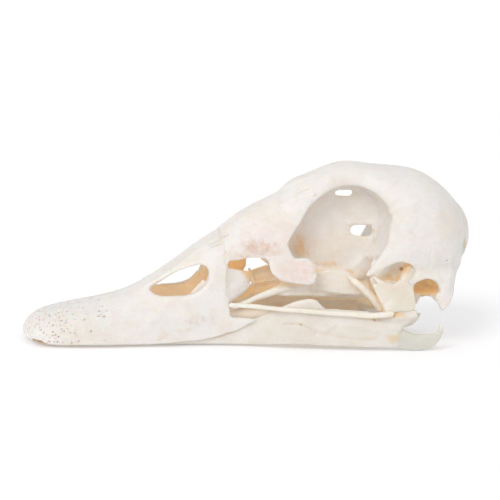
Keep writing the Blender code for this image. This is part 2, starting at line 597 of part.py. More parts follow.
def rostrum_forms():
    """The rostrum under the wall between the orbits, with a facet for each pterygoid."""
    beam = bars("rostrum", ROSTRUM_BEAM) + [blade("rostrum_tip", ROSTRUM_TIP)]
    return beam + both_sides([blade("facet", ROSTRUM_FACET)])


def build_upper_skull():
    """The cranium and the upper beak, modelled whole and parted by a thin cut at the hinge."""
    skull = cranium_forms()
    room = orbit_cutter()
    far_room = mirrored(room, "orbit_right")
    temporal = ellipsoid("temporal_room", *TEMPORAL_ROOM)
    ear = ellipsoid("ear_room", *EAR_ROOM)
    fontanelle = ellipsoid("fontanelle", *FONTANELLE)
    cutters = both_sides([temporal, ear, fontanelle]) + [room, far_room]
    cutters.append(ellipsoid("foramen_magnum", *FORAMEN_MAGNUM))
    boolean(skull, cutters, "DIFFERENCE")
    late = both_sides(blades(LACRIMAL) + blades(POSTORBITAL)) + rostrum_forms() + [beak_forms()]
    boolean(skull, late, "UNION")
    windows = [
        side_plate("septum_window", SEPTUM_FENESTRA, 0.0, WINDOW_DEPTH),
        side_plate("septum_slit", SEPTUM_SLIT, 0.0, WINDOW_DEPTH),
    ]
    boolean(skull, windows, "DIFFERENCE")
    grown(skull, VOXEL, SMOOTHING)
    thinned(skull, UPPER_SKULL_TRIANGLES)
    return skull


def parted_at_hinge(skull):
    """Cuts the upper skull through its bending hinge: the cranium and the upper beak as two objects."""
    bm = bmesh.new()
    bmesh.ops.create_cube(bm, size=1.0)
    size = Matrix.Diagonal((GAP, HINGE_BREADTH, HINGE_DEPTH, 1.0))
    place = Matrix.Translation((HINGE_PLACE[0], 0.0, HINGE_PLACE[1]))
    lean = Matrix.Rotation(math.radians(-HINGE_LEAN), 4, "Y")
    bmesh.ops.transform(bm, matrix=place @ lean @ size, verts=bm.verts)
    boolean(skull, [new_object("hinge_cut", bm)], "DIFFERENCE")
    beak = skull.copy()
    beak.data = skull.data.copy()
    bpy.data.collections["work"].objects.link(beak)
    keep_surface(skull)
    keep_surface(beak, rank=1)
    return skull, beak


def quadrate_forms():
    """The left quadrate, which the lower jaw swings on: plate, two processes and its condyles."""
    return blades(QUADRATE)


def pterygoid_forms():
    """The left pterygoid, a slim bar from the quadrate to the rostrum, broad at its front end."""
    return bars("bar", PTERYGOID_BAR) + [blade("front", PTERYGOID_FRONT)]


def palatine_forms():
    """The left palatine: a bar from the beak's palate that widens into a plate beside the rostrum."""
    return bars("front", PALATINE_BAR) + blades(PALATINE)


def jugal_forms():
    """The left jugal bar, from the upper beak to the side of the quadrate."""
    return bars("bar", JUGAL_BAR)


def jaw_half_forms():
    """The left half of the lower jaw: the blade, the joint and the hook behind it."""
    rings = []
    for x in spaced(JAW_LOW[0][0], JAW_LOW[-1][0], 2.0):
        rings.append(oval(x, keyed(JAW_HALF_THICKNESS, x), keyed(JAW_LOW, x), keyed(JAW_HIGH, x), JAW_POWER,
                          -keyed(JAW_MIDDLE, x), 16))
    return [loft("ramus", rings)] + bars("outer_process", JAW_ROD) + blades(JAW_REAR)


def floor_block():
    """All that lies below the floor, to cut the jaw's small flats where it rests."""
    bm = bmesh.new()
    bmesh.ops.create_cube(bm, size=FLOOR_SIZE, matrix=Matrix.Translation((0.0, 0.0, -FLOOR_SIZE / 2)))
    return new_object("floor", bm)


def bone(name, forms, triangles, neighbours):
    """One bone: its forms joined, fused, thinned and cut clear of the bones that it meets."""
    first, rest = forms[0], forms[1:]
    if rest:
        boolean(first, rest, "UNION")
    first.name = name
    grown(first, FINE_VOXEL, FINE_SMOOTHING)
    thinned(first, triangles)
    clear_of(first, neighbours)
    return first


def main():
    for obj in list(bpy.data.objects):
        bpy.data.objects.remove(obj)
    collection("duck_skull")
    collection("work")
    skull, beak = parted_at_hinge(build_upper_skull())
    nodes = {"cranium": skull, "upper_beak": beak}
    pairs = [
        ("quadrate", quadrate_forms, QUADRATE_TRIANGLES, ["cranium"]),
        ("pterygoid", pterygoid_forms, PTERYGOID_TRIANGLES, ["cranium", "quadrate"]),
        ("palatine", palatine_forms, PALATINE_TRIANGLES, ["cranium", "upper_beak", "pterygoid"]),
        ("jugal", jugal_forms, JUGAL_TRIANGLES, ["cranium", "upper_beak", "quadrate"]),
    ]
    for name, forms, triangles, meets in pairs:
        left = [nodes[near if near in nodes else near + "_left"] for near in meets]
        nodes[name + "_left"] = bone(name + "_left", forms(), triangles, left)
        nodes[name + "_right"] = mirrored(nodes[name + "_left"], name + "_right")
    around = [nodes[name] for name in ("cranium", "palatine_left", "palatine_right")]
    nodes["vomer"] = bone("vomer", [blade("blade", VOMER)], VOMER_TRIANGLES, around)
    tip = blade("tip", JAW_TIP + [(x, -y, z, radius) for x, y, z, radius in JAW_TIP])
    around = [nodes[name] for name in ("upper_beak", "quadrate_left", "quadrate_right")]
    jaw = bone("lower_jaw", [tip] + both_sides(jaw_half_forms()), JAW_TRIANGLES, around)
    boolean(jaw, [floor_block()], "DIFFERENCE")
    keep_surface(jaw)
    nodes["lower_jaw"] = jaw
    for name, obj in nodes.items():
        finish(obj, name, COLOURS.get(name.split("_")[0], BONE_WHITE))
    bpy.data.collections.remove(bpy.data.collections["work"])


main()
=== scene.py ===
import math
import bmesh
import bpy
import numpy as np
from mathutils import Matrix, Vector
from mathutils.bvhtree import BVHTree


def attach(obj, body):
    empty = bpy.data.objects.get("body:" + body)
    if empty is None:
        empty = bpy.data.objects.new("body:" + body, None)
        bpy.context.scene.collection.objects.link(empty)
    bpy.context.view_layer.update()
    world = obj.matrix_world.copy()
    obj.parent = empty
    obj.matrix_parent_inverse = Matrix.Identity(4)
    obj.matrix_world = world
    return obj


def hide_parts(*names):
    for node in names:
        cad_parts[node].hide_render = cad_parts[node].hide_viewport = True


# A duck's skull with its lower jaw, as clean bleached bone on a white light table.
# The beak points to -X and the skull's left side, which the camera sees, to -Y.
# Lengths are in millimetres and angles in degrees, unless a line says otherwise.

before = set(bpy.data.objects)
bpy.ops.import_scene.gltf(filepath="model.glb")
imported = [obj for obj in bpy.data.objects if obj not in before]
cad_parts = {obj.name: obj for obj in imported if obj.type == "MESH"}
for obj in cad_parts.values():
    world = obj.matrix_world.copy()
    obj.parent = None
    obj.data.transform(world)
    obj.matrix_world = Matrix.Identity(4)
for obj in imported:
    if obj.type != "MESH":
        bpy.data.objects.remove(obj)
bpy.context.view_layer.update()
MM = 0.001

# The camera, which sees the left side from a little in front and above
CAMERA_AZIMUTH = -10.0
CAMERA_ELEVATION = 12.0
CAMERA_ROLL = 2.698
CAMERA_DISTANCE = 650.0
CAMERA_TARGET = (0.07, 0.0, 26.49)
CAMERA_LENS = 161.78
CAMERA_SENSOR = 36.0
CAMERA_NEAR_END = 10.0

# The light: a white room, a table lit from below, and a wide sun whose shadow falls to the right and back
ROOM_LIGHT = 0.8
TABLE_LIGHT = 0.215
TABLE_HALF_WIDTH = 6000.0
SUN_LIGHT = 1.15
SUN_WIDTH = 26.0
SUN_FROM = (-0.75, -1.0, 1.0)

# How fine the bones' surfaces are, and the rounds that even each one out
WELD = 0.001
SKULL_VOXEL = 0.32
JAW_VOXEL = 0.28
SMALL_VOXEL = 0.22
SKULL_TRIANGLES = 165000
SKULL_ROUNDS = 10
SMALL_ROUNDS = 30
OWN_ROUNDS = {"quadrate": 80, "palatine": 60}
SHRINK_STEP = 0.6
SWELL_STEP = -0.63

# The bending hinge, where the solids of beak and cranium part and the real bone is one: its x and z, its
# lean, how far its cut faces stand off, and the height where it starts
HINGE_PLACE = (-9.0, 30.0)
HINGE_LEAN = 13.3
HINGE_REACH = 0.35
HINGE_FOOT = 22.0

# A mark, slit or hole belongs to the bone that comes this near to its first point
ON_BONE = 2.0


def colour(hex_code):
    """An sRGB colour such as F4F1EC as the linear values that a shader takes."""
    channels = [int(hex_code[n:n + 2], 16) / 255 for n in (0, 2, 4)]
    return [c / 12.92 if c <= 0.04045 else ((c + 0.055) / 1.055) ** 2.4 for c in channels] + [1.0]


def new_object(name, mesh):
    """A mesh as an object in the scene."""
    obj = bpy.data.objects.new(name, mesh)
    bpy.context.scene.collection.objects.link(obj)
    return obj


def from_bmesh(name, bm):
    """An object from a bmesh drawn in millimetres."""
    bmesh.ops.scale(bm, vec=Vector((MM, MM, MM)), verts=bm.verts)
    bmesh.ops.recalc_face_normals(bm, faces=bm.faces)
    mesh = bpy.data.meshes.new(name)
    bm.to_mesh(mesh)
    bm.free()
    return new_object(name, mesh)


def remove(pieces):
    """Deletes some objects and their meshes."""
    for piece in pieces:
        mesh = piece.data
        bpy.data.objects.remove(piece)
        bpy.data.meshes.remove(mesh)


def modify(obj, kind, **settings):
    """Adds one modifier to obj and applies it."""
    step = obj.modifiers.new(kind, kind)
    for name, value in settings.items():
        setattr(step, name, value)
    graph = bpy.context.evaluated_depsgraph_get()
    mesh = bpy.data.meshes.new_from_object(obj.evaluated_get(graph))
    before = obj.data
    obj.modifiers.clear()
    obj.data = mesh
    bpy.data.meshes.remove(before)


def cut(obj, cutter):
    """Takes a closed object off obj, and removes it."""
    group = bpy.data.collections.new("cutter")
    bpy.context.scene.collection.children.link(group)
    bpy.context.scene.collection.objects.unlink(cutter)
    group.objects.link(cutter)
    modify(obj, "BOOLEAN", operation="DIFFERENCE", operand_type="COLLECTION", collection=group,
           solver="MANIFOLD")
    remove([cutter])
    bpy.data.collections.remove(group)


def voxelled(obj, voxel):
    """Makes all the forms in obj one even skin."""
    modify(obj, "REMESH", mode="VOXEL", voxel_size=voxel * MM)


def web(name, balls):
    """The tight skin round balls, each (x, y, z, radius): a plate, a point or a flake of bone."""
    drawn = bmesh.new()
    for x, y, z, radius in balls:
        bmesh.ops.create_icosphere(drawn, subdivisions=2, radius=radius, matrix=Matrix.Translation((x, y, z)))
    bm = bmesh.new()
    for vert in drawn.verts:
        bm.verts.new(vert.co)
    drawn.free()
    hull = bmesh.ops.convex_hull(bm, input=bm.verts)
    loose = [part for part in hull["geom_interior"] if isinstance(part, bmesh.types.BMVert)]
    bmesh.ops.delete(bm, geom=loose, context="VERTS")
    return from_bmesh(name, bm)


def bar(name, balls):
    """A web between each ball and the next: a rod or a groove along a path."""
    return [web(f"{name}_{n}", pair) for n, pair in enumerate(zip(balls, balls[1:]))]


def mirrored(obj):
    """A copy of obj on the other side of the skull."""
    twin = obj.copy()
    twin.data = obj.data.copy()
    twin.data.transform(Matrix.Diagonal((1, -1, 1, 1)))
    twin.data.flip_normals()
    bpy.context.scene.collection.objects.link(twin)
    return twin


def copy_of(name, nodes):
    """The solids of some nodes as one new mesh, its loose triangles merged."""
    bm = bmesh.new()
    for node_name in nodes:
        bm.from_mesh(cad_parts[node_name].data)
    bmesh.ops.remove_doubles(bm, verts=bm.verts, dist=WELD * MM)
    mesh = bpy.data.meshes.new(name)
    bm.to_mesh(mesh)
    bm.free()
    return new_object(name, mesh)


def tree_of(objects):
    """The surface of some objects for ray casts and nearest points, in metres."""
    bm = bmesh.new()
    for obj in objects:
        bm.from_mesh(obj.data)
    tree = BVHTree.FromBMesh(bm)
    bm.free()
    return tree


def rows_of(mesh, name):
    """The "co" (place, in metres) or "normal" of a mesh's points, one row for each."""
    rows = np.empty(len(mesh.vertices) * 3)
    mesh.vertices.foreach_get(name, rows)
    return rows.reshape(-1, 3)


def move_points(mesh, points):
    """Puts a mesh's points in new places, in metres."""
    mesh.vertices.foreach_set("co", points.ravel())
    mesh.update()


def set_attribute(mesh, name, values):
    """Keeps one value for each point of a mesh, as a mask that a material reads."""
    attribute = mesh.attributes.new(name, "FLOAT", "POINT")
    attribute.data.foreach_set("value", np.asarray(values, dtype=np.float32))


def edge_ends(mesh):
    """The numbers of each edge's two points, as two rows."""
    ends = np.empty(len(mesh.edges) * 2, dtype=np.int64)
    mesh.edges.foreach_get("vertices", ends)
    return ends.reshape(-1, 2).T


def neighbours_mean(mesh):
    """A function that gives each point the mean of its neighbours' rows of values."""
    first, last = edge_ends(mesh)
    count = len(mesh.vertices)
    degree = np.maximum(1, np.bincount(first, minlength=count) + np.bincount(last, minlength=count))

    def mean(rows):
        sums = [np.bincount(first, column[last], count) + np.bincount(last, column[first], count)
                for column in rows.T]
        return np.stack(sums, 1) / degree[:, None]
    return mean


def relaxed(obj, rounds):
    """Evens out a surface and keeps its volume: a step inwards, then a slightly longer one outwards."""
    mean = neighbours_mean(obj.data)
    points = rows_of(obj.data, "co")
    for _ in range(rounds):
        for step in (SHRINK_STEP, SWELL_STEP):
            points += step * (mean(points) - points)
    move_points(obj.data, points)


def close_hinge(obj):
    """Pushes the beak's cut face across the thin cut, so that beak and cranium become one bone again."""
    lean = math.radians(HINGE_LEAN)
    normal = np.array([math.cos(lean), 0.0, math.sin(lean)])
    place = np.array([HINGE_PLACE[0], 0.0, HINGE_PLACE[1]]) * MM
    points = rows_of(obj.data, "co")
    depth = (points - place) @ normal
    near = (np.abs(depth) < HINGE_REACH * MM) & (depth < 0) & (points[:, 2] > HINGE_FOOT * MM)
    points[near] += normal * HINGE_REACH * 2 * MM
    move_points(obj.data, points)


def node(tree, kind, inputs=None, **settings):
    """Adds a node with its settings; each input is a value or another node's output."""
    made = tree.nodes.new(kind)
    for name, value in settings.items():
        setattr(made, name, value)
    for name, value in (inputs or {}).items():
        socket = made.inputs[name]
        if isinstance(value, bpy.types.NodeSocket):
            tree.links.new(value, socket)
        else:
            socket.default_value = value
    return made


# Dry bleached bone: an off-white solid, matt with a faint waxy sheen, with a painted glow in its closed hollows
# and on the jaw's thinnest wall.
# Its closed hollows turn tan to amber, partly from fat and soil left there and partly as painted shade; its
# creases, inner walls and pits carry painted shade, and its thin edges are a pale yellow.
STAIN_COLOURS = {
    "tan": "DCCBB0", "amber": "DFBB88", "brown": "A57C50", "pink": "E0CFC7", "rust": "CDAF9C",
    "green": "CFD0C6", "edge": "ECE9DF", "mottle": "D9D0C5", "pit_shade": "7C6A55", "inner_wall_shade": "E0CEB2",
}
BONE_IOR = 1.54
BONE_ROUGHNESS = (0.46, 0.6)  # from its waxiest blotches to its driest
BONE_DEPTH = 2.5              # how far red light goes into it
BONE_RELIEF = 0.18            # how high its finest relief is
HOLLOW_PAINTED_GLOW = 0.3          # painted glow in closed hollows, standing in for daylight through their thin walls
JAW_PAINTED_GLOW = 0.5           # and the painted glow on the jaw's thinnest wall

# The patterns on bone, with their scale for each millimetre: clouds of tone 11 mm wide, dents 3 mm and
# blotches 1.7 mm. Its pores, under 0.1 mm, are too fine to show, so the grain is drawn at 0.4 mm.
PATTERNS = {
    "clouds": {"Scale": 0.09, "Detail": 3.0, "Roughness": 0.55},
    "dents": {"Scale": 0.35, "Detail": 2.0},
    "blotches": {"Scale": 0.6, "Detail": 4.0, "Roughness": 0.65},
    "grain": {"Scale": 2.6, "Detail": 3.0, "Roughness": 0.6},
}
STAINS_SHOWN = ("green", "pink", "rust", "tan", "amber", "brown")
# The masks closed, inner, crease and pits lead to painted shade, and the jaw's spot mask to a painted glow
MASKS = ("closed", "inner", "edge", "crease", "pits", "thin") + STAINS_SHOWN


def bone_layers(hollow_start, amber):
    """The colours that lie on bone from below, each (source, patchiness, start, full, most, colour).

    A colour shows from where its source, a pattern or a mask, passes start, and reaches its most at full.
    """
    return [
        ("clouds", 0.0, 0.4, 0.68, 1.0, "cream"),
        ("dents", 0.0, 0.45, 0.7, 0.22, "mottle"),
        ("grain", 0.0, 0.5, 0.8, 0.25, "tan"),
        ("edge", 0.0, 0.2, 0.9, 0.4, "edge"),
        # tan and amber where other bone closes the view: partly real stain, partly painted shade
        ("closed", 0.3, hollow_start, hollow_start + 0.4, 0.9, "tan"),
        ("closed", 0.3, hollow_start + 0.22, hollow_start + 0.5, amber, "amber"),
        # painted shade: a light tan on walls that face the middle of the skull where other bone closes them in
        ("inner", 0.3, 0.3, 0.9, 0.9, "inner_wall_shade"),
        # painted shade: tan in concave creases
        ("crease", 0.0, 0.2, 0.9, 0.6, "tan"),
        *((stain, 0.7, 0.5, 1.05, 1.0, stain) for stain in STAINS_SHOWN),
        # painted shade: dark brown in pits and narrow gaps, where other bone is very near
        ("pits", 0.0, 0.2, 0.55, 0.5, "pit_shade"),
    ]


def bone_material(name, white, cream, hollow_start=0.65, amber=0.55):
    """Bone in two pale tones, tinted by the masks on its mesh: painted shade in hollows, creases and pits, pale
    edges, named stains, and a painted glow.
    """
    material = bpy.data.materials.new(name)
    material.use_nodes = True
    tree = material.node_tree
    shader = tree.nodes["Principled BSDF"]
    place = node(tree, "ShaderNodeTexCoord").outputs["Object"]
    mm = node(tree, "ShaderNodeMapping", {"Vector": place, "Scale": [1 / MM] * 3}).outputs["Vector"]
    sources = {pattern: node(tree, "ShaderNodeTexNoise", {"Vector": mm, **sizes}).outputs["Fac"]
               for pattern, sizes in PATTERNS.items()}
    for mask in MASKS:
        sources[mask] = node(tree, "ShaderNodeAttribute", attribute_name=mask).outputs["Fac"]
    hex_codes = {"cream": cream, **STAIN_COLOURS}
    base = colour(white)
    for source, patchiness, start, full, most, tone in bone_layers(hollow_start, amber):
        value = sources[source]
        if patchiness:
            value = node(tree, "ShaderNodeMath", {0: sources["blotches"], 1: patchiness, 2: value},
                         operation="MULTIPLY_ADD").outputs[0]
        share = node(tree, "ShaderNodeMapRange", {"Value": value, "From Min": start, "From Max": full,
                                                  "To Max": most}, interpolation_type="SMOOTHSTEP")
        base = node(tree, "ShaderNodeMix", {0: share.outputs["Result"], 6: base, 7: colour(hex_codes[tone])},
                    data_type="RGBA").outputs[2]
    height = sources["grain"]
    for pattern, amount in (("dents", 3.0), ("blotches", 1.5)):
        height = node(tree, "ShaderNodeMath", {0: sources[pattern], 1: amount, 2: height},
                      operation="MULTIPLY_ADD").outputs[0]
    bump = node(tree, "ShaderNodeBump", {"Height": height, "Strength": 0.8, "Distance": BONE_RELIEF * MM})
    gloss = node(tree, "ShaderNodeMapRange", {"Value": sources["blotches"], "From Min": 0.3, "From Max": 0.7,
                                              "To Min": BONE_ROUGHNESS[0], "To Max": BONE_ROUGHNESS[1]})
    # painted glow: emission in closed hollows and on the marked jaw wall, though they are no lamps
    hollow_painted_glow = node(tree, "ShaderNodeMapRange",
                       {"Value": sources["closed"], "From Min": 0.5, "From Max": 0.95,
                        "To Max": HOLLOW_PAINTED_GLOW},
                       interpolation_type="SMOOTHSTEP").outputs["Result"]
    painted_glow_strength = node(tree, "ShaderNodeMath", {0: sources["thin"], 1: JAW_PAINTED_GLOW, 2: hollow_painted_glow},
                operation="MULTIPLY_ADD")
    tree.links.new(base, shader.inputs["Base Color"])
    tree.links.new(base, shader.inputs["Emission Color"])
    tree.links.new(painted_glow_strength.outputs[0], shader.inputs["Emission Strength"])
    tree.links.new(gloss.outputs["Result"], shader.inputs["Roughness"])
    tree.links.new(bump.outputs["Normal"], shader.inputs["Normal"])
    shader.inputs["IOR"].default_value = BONE_IOR
    shader.inputs["Subsurface Weight"].default_value = 0.5
    shader.inputs["Subsurface Radius"].default_value = (1.0, 0.6, 0.35)
    shader.inputs["Subsurface Scale"].default_value = BONE_DEPTH * MM
    return material


def set_camera():
    """The camera, rolled about its own line of sight, because the skull leans a little in the frame."""
    azimuth, elevation, roll = (math.radians(v) for v in (CAMERA_AZIMUTH, CAMERA_ELEVATION, CAMERA_ROLL))
    back = Vector((math.sin(azimuth) * math.cos(elevation), -math.cos(azimuth) * math.cos(elevation),
                   math.sin(elevation)))
    level = Vector((math.cos(azimuth), math.sin(azimuth), 0))
    upright = back.cross(level)
    right = math.cos(roll) * level + math.sin(roll) * upright
    up = math.cos(roll) * upright - math.sin(roll) * level
    place = (Vector(CAMERA_TARGET) + CAMERA_DISTANCE * back) * MM
    data = bpy.data.cameras.new("camera")
    data.lens = CAMERA_LENS
    data.sensor_width = CAMERA_SENSOR
    data.clip_start = CAMERA_NEAR_END * MM
    camera = bpy.data.objects.new("camera", data)
    camera.matrix_world = Matrix((*zip(right, up, back, place), (0, 0, 0, 1)))
    bpy.context.scene.collection.objects.link(camera)
    bpy.context.scene.camera = camera


def set_stage():
    """A white light table in a white room, with one wide soft sun from the front left."""
    bm = bmesh.new()
    bmesh.ops.create_grid(bm, x_segments=1, y_segments=1, size=TABLE_HALF_WIDTH)
    floor = from_bmesh("floor", bm)
    # Satin white acrylic, lit from below, so that the table looks white and shadows on it stay pale
    acrylic = bpy.data.materials.new("white_acrylic_light_table")
    acrylic.use_nodes = True
    shader = acrylic.node_tree.nodes["Principled BSDF"]
    shader.inputs["Base Color"].default_value = colour("E6E6E8")
    shader.inputs["Roughness"].default_value = 0.9
    shader.inputs["Emission Color"].default_value = colour("FFFFFF")
    shader.inputs["Emission Strength"].default_value = TABLE_LIGHT
    floor.data.materials.append(acrylic)
    room = bpy.data.worlds.new("white_room")
    room.use_nodes = True
    background = room.node_tree.nodes["Background"]
    background.inputs["Color"].default_value = colour("FFFFFF")
    background.inputs["Strength"].default_value = ROOM_LIGHT
    bpy.context.scene.world = room
    sun = bpy.data.lights.new("soft_sun", "SUN")
    sun.energy = SUN_LIGHT
    sun.angle = math.radians(SUN_WIDTH)
    lamp = bpy.data.objects.new("soft_sun", sun)
    lamp.rotation_euler = Vector(SUN_FROM).to_track_quat("Z", "Y").to_euler()
    bpy.context.scene.collection.objects.link(lamp)
    bpy.context.scene.view_settings.view_transform = "Standard"


# Small forms that the solids leave out, for the bone that carries them, each (on both sides, shape, balls).
# Those of the left side stand for both.
EXTRA_FORMS = {
    "upper_skull": [
        # the skull's floor inside the quadrate, and the plate under the rostrum
        (True, web, [(35.8, -7.5, 21.0, 1.2), (39.0, -7.5, 19.8, 1.2), (43.5, -8.5, 20.5, 1.2),
                     (45.5, -9.0, 22.5, 1.2), (40.0, -7.0, 24.0, 2.0), (36.0, -6.5, 24.0, 1.5)]),
        (False, web, [(26.0, 0.0, 13.6, 0.9), (36.0, 0.0, 13.6, 0.9), (34.0, 0.0, 18.5, 0.9),
                      (27.0, 0.0, 18.0, 0.9)]),
        # the flake inside the ear's notch, and the inner plate behind the nostril
        (True, web, [(46.9, -7.0, 17.0, 0.5), (50.0, -7.0, 15.6, 0.4), (48.7, -7.0, 12.6, 0.35)]),
        (True, web, [(-17.6, -5.6, 14.6, 0.4), (-14.2, -6.0, 18.7, 0.35), (-12.6, -6.0, 17.9, 0.5),
                     (-15.0, -6.0, 14.0, 0.5)]),
        # the bars that bound the two windows between the eyes
        (False, bar, [(23.8, -0.4, 45.25, 0.75), (29.5, -0.4, 45.35, 0.75)]),
        (False, bar, [(28.9, -0.4, 35.1, 0.75), (36.4, -0.4, 35.1, 0.75), (36.4, -0.4, 32.0, 0.75)]),
        # the point behind the ear, and the bars along the ear's lower edge
        (True, web, [(54.2, -12.3, 16.0, 1.6), (55.0, -12.4, 12.9, 0.9), (55.2, -12.5, 12.3, 0.6)]),
        (True, bar, [(47.8, -9.5, 15.8, 0.5), (49.7, -9.5, 16.3, 0.6), (51.4, -9.5, 16.5, 0.6)]),
        (True, web, [(51.4, -9.5, 16.5, 0.6), (53.3, -10.0, 15.9, 0.6), (54.6, -11.0, 15.6, 0.7)]),
        # the right wall's inner edge under the forehead, and the thin struts before the eye socket
        (False, web, [(-3.5, 5.6, 19.5, 0.9), (-0.6, 5.6, 20.6, 0.7), (-0.6, 5.6, 22.8, 0.7),
                      (-4.0, 5.6, 22.5, 1.0)]),
        (False, bar, [(-0.2, -1.2, 21.3, 0.45), (0.8, -1.2, 18.8, 0.5), (1.5, -1.2, 16.6, 0.7)]),
        (False, bar, [(2.3, -1.4, 17.3, 0.5), (8.0, -1.4, 18.3, 0.6)]),
    ],
    "vomer": [
        # the thin upright blade
        (False, web, [(-4.6, 0.0, 10.2, 0.4), (-5.2, 0.0, 11.4, 0.4), (-0.8, 0.0, 14.0, 0.4),
                      (1.2, 0.0, 16.0, 0.4), (8.0, 0.0, 16.2, 0.4), (8.0, 0.0, 15.2, 0.4),
                      (2.2, 0.0, 12.6, 0.4)]),
    ],
    "palatine": [
        # the rod in front, the thin crest, and the hooked plate behind
        (True, bar, [(-4.2, -6.5, 11.2, 0.6), (1.0, -6.5, 13.7, 0.8)]),
        (True, web, [(1.0, -6.5, 13.7, 0.8), (6.7, -6.5, 16.2, 0.9), (10.0, -6.4, 16.6, 1.0)]),
        (True, web, [(10.0, -6.4, 16.6, 1.0), (13.0, -6.3, 15.6, 0.7), (19.5, -6.3, 15.2, 0.6),
                     (23.6, -6.2, 15.7, 0.6), (24.3, -6.0, 16.5, 0.6), (19.5, -5.8, 17.4, 0.6)]),
        (True, web, [(17.0, -6.6, 20.6, 0.5), (22.5, -5.8, 21.8, 0.5), (26.6, -5.0, 21.7, 0.5),
                     (29.2, -5.2, 20.2, 0.6), (31.6, -5.9, 15.3, 0.7), (27.6, -6.2, 15.7, 0.7),
                     (24.6, -6.5, 16.0, 0.6), (18.0, -6.8, 16.4, 0.6)]),
    ],
    "quadrate": [
        # the outer plate
        (True, web, [(34.8, -12.4, 19.0, 0.6), (37.9, -13.0, 18.8, 0.8), (41.4, -13.0, 18.9, 0.8),
                     (45.0, -12.8, 19.8, 0.8), (45.2, -12.8, 17.6, 0.8), (45.7, -12.8, 15.5, 0.8),
                     (46.3, -12.8, 13.7, 0.8), (45.8, -12.8, 12.4, 0.7), (42.6, -13.0, 12.2, 0.8),
                     (38.6, -12.8, 12.5, 0.8), (36.9, -12.6, 14.9, 0.7)]),
        # its front point, the rim under the pit, and the knob behind
        (True, bar, [(34.0, -12.4, 22.2, 0.5), (35.6, -12.7, 20.6, 0.6)]),
        (True, web, [(35.6, -12.7, 20.6, 0.6), (37.4, -12.9, 19.7, 0.65), (36.0, -12.6, 18.8, 0.6)]),
        (True, bar, [(37.4, -12.9, 19.7, 0.65), (40.1, -12.9, 19.3, 0.65)]),
        (True, web, [(40.1, -12.9, 19.3, 0.65), (42.4, -12.9, 20.4, 0.65), (44.0, -12.9, 18.8, 0.8)]),
        (True, web, [(42.4, -12.9, 20.4, 0.65), (43.6, -12.9, 22.6, 0.7), (45.6, -12.7, 22.6, 0.9),
                     (45.4, -12.7, 19.0, 0.8)]),
        (True, web, [(43.6, -12.9, 22.6, 0.7), (44.4, -13.1, 25.0, 0.8), (46.4, -12.9, 23.4, 0.9)]),
    ],
    "pterygoid": [
        # the rod from the palatine to the quadrate
        (True, bar, [(28.4, -6.6, 20.2, 0.7), (29.8, -8.4, 19.2, 1.0), (31.8, -9.0, 17.7, 1.1),
                     (34.8, -9.4, 14.9, 1.1), (37.2, -9.8, 11.8, 1.1)]),
    ],
    "lower_jaw": [
        # the raised upper edge before the joint
        (True, web, [(20.0, -11.4, 10.6, 0.7), (21.5, -11.4, 11.3, 0.7), (26.6, -11.6, 11.1, 0.6),
                     (20.5, -11.4, 9.2, 0.7), (26.6, -11.6, 9.0, 0.7)]),
        (True, web, [(26.6, -11.6, 11.1, 0.6), (32.5, -11.8, 10.8, 0.6), (36.3, -12.0, 10.2, 0.6),
                     (26.6, -11.6, 9.0, 0.7), (36.3, -12.0, 8.8, 0.7)]),
        # the rod on the outside of the joint
        (True, web, [(28.0, -12.2, 8.3, 0.6), (34.0, -12.5, 8.9, 0.8), (40.0, -12.8, 9.2, 1.0)]),
        (True, bar, [(37.5, -12.8, 9.4, 1.2), (41.0, -13.0, 9.9, 1.5), (44.0, -13.0, 10.1, 1.6),
                     (46.5, -13.0, 10.7, 1.4)]),
    ],
}


def block(corners, near, far, radius=0.3):
    """The balls of a block with corners (x, z) that reaches from y near to y far."""
    return [(x, y, z, radius) for x, z in corners for y in (near, far)]


# What the solids hold too much, for the bone that loses it, each (on both sides, shape, balls)
CUT_FORMS = {
    "upper_skull": [
        # the notch under the ear
        (True, web, block(((50.7, 15.0), (52.3, 15.0), (54.0, 12.8), (54.4, 9.5), (49.4, 9.5), (49.7, 12.2)),
                          -17.0, -3.0)),
        # the lower window between the eyes
        (False, web, block(((30.6, 32.4), (32.4, 31.5), (34.0, 31.9)), -4.0, 4.0, 0.5)),
        # the blunt end of the lobe before the eye
        (True, web, block(((18.2, 26.0), (18.3, 22.5), (23.0, 26.0), (23.0, 22.5)), -17.0, -9.8, 0.1)),
        (True, web, block(((18.3, 22.5), (17.3, 19.8), (23.0, 22.5), (23.0, 17.0)), -17.0, -9.8, 0.1)),
        (True, web, block(((17.3, 19.8), (15.5, 18.6), (23.0, 17.0), (15.5, 16.6), (23.0, 16.6)),
                          -17.0, -9.8, 0.1)),
        # the great hole at the back of the head, into the brain's room
        (False, bar, [(61.0, 0.0, 20.4, 2.9), (56.5, 0.0, 21.4, 2.7), (50.0, 0.0, 24.5, 3.6)]),
    ],
    "quadrate": [
        # the pit over the rim, where the head turns in the skull
        (True, web, block(((35.3, 22.7), (37.4, 25.6), (40.2, 26.8), (42.0, 26.4), (42.6, 23.8), (42.1, 21.5),
                           (40.1, 20.5), (37.2, 21.1)), -17.0, -10.2, 0.15)),
    ],
    "lower_jaw": [
        # the worn end of the right hook
        (False, web, block(((51.0, 5.2), (58.0, 5.2), (51.0, 12.0), (58.0, 12.0)), 9.0, 18.0)),
    ],
}


def forms_of(table, kind, side):
    """The small forms of one kind of bone, those of its side where it has one."""
    pieces = []
    for paired, shape, balls in table.get(kind, ()):
        made = shape(f"{kind}_form", balls)
        for form in made if isinstance(made, list) else [made]:
            if paired and side != "left":
                pieces.append(mirrored(form))
            if paired and side == "right":
                remove([form])
            else:
                pieces.append(form)
    return pieces


